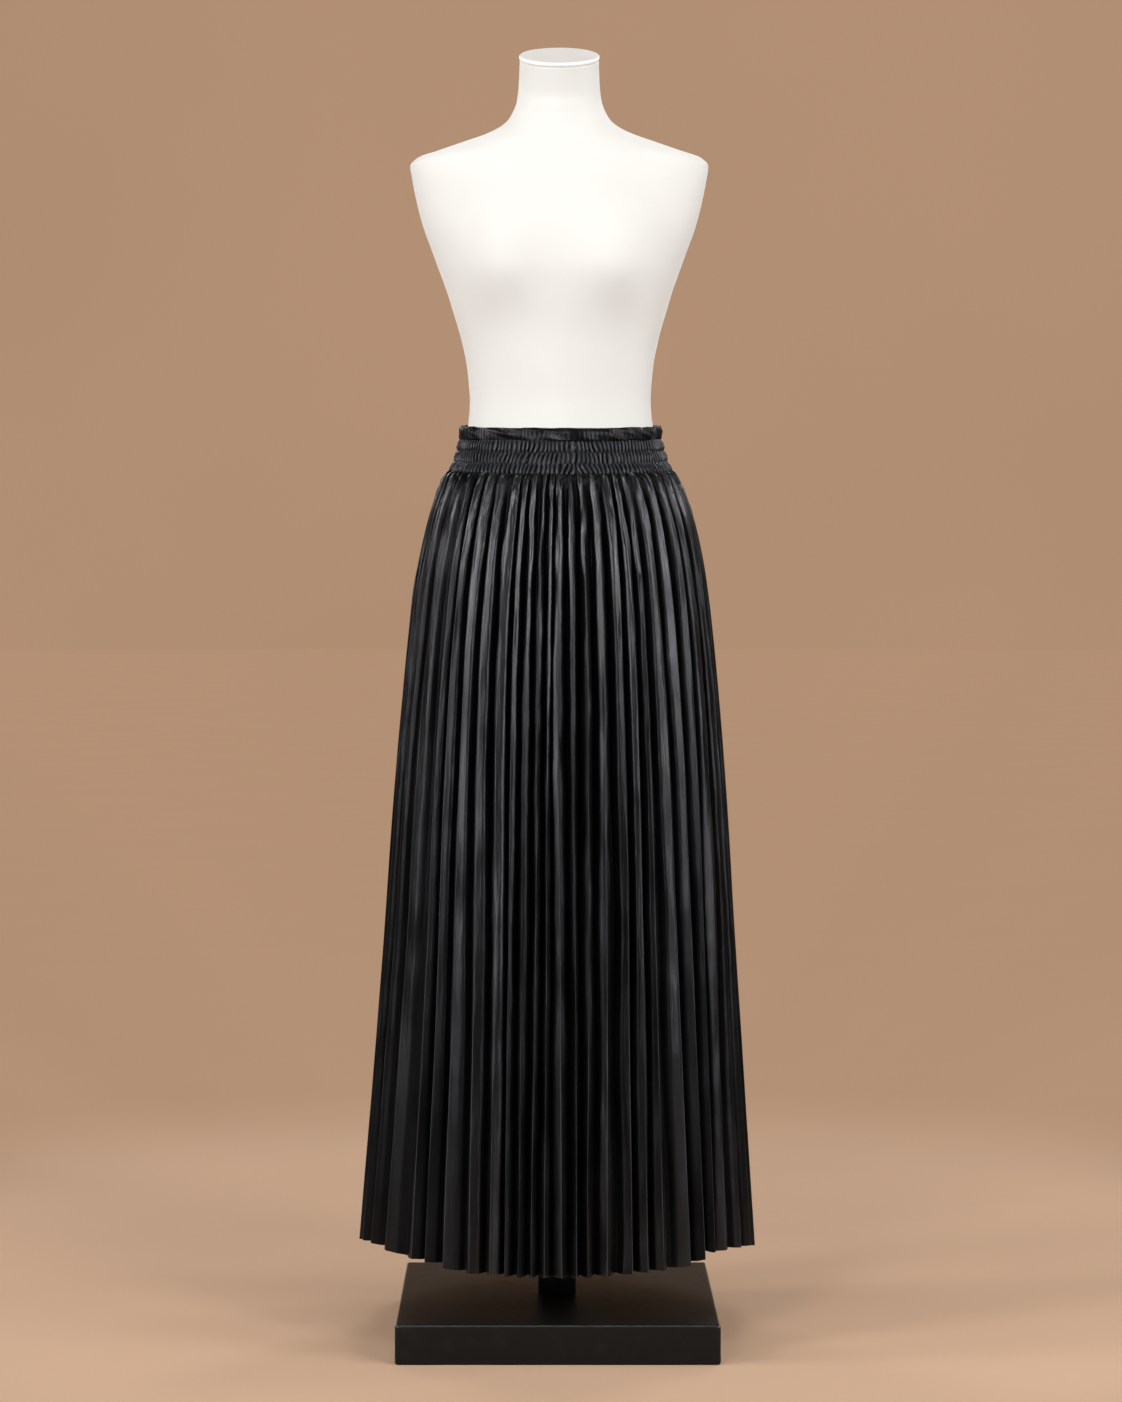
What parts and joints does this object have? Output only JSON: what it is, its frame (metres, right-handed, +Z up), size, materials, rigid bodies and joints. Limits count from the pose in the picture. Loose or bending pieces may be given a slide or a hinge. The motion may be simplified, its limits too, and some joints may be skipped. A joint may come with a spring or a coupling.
{
  "type": "pleated maxi skirt on a limbless dress form with a stand",
  "caption": "Long black pleated skirt with a shirred elastic waistband, worn by a limbless white dress form on a pole and a square base.",
  "frame": {"origin": "centre of the base's underside, on the floor", "axes": "+Z up along the pole, -Y out of the front of the skirt, +X towards the wearer's left"},
  "size_m": [0.4852, 0.3988, 1.5798],
  "materials": {
    "skirt_cloth": "black coated pleating cloth with a soft satin sheen",
    "waistband_cloth": "the same black cloth, shirred over elastic",
    "form_cover": "matt off-white stretch cover",
    "neck_cap": "satin off-white",
    "stand_paint": "satin black paint"
  },
  "bodies": {
    "root": {"skirt_front": "skirt_cloth", "skirt_back": "skirt_cloth", "waistband_front": "waistband_cloth", "waistband_back": "waistband_cloth", "form_body": "form_cover", "neck_cap": "neck_cap", "stand_pole": "stand_paint", "stand_base": "stand_paint"}
  },
  "joints": []
}
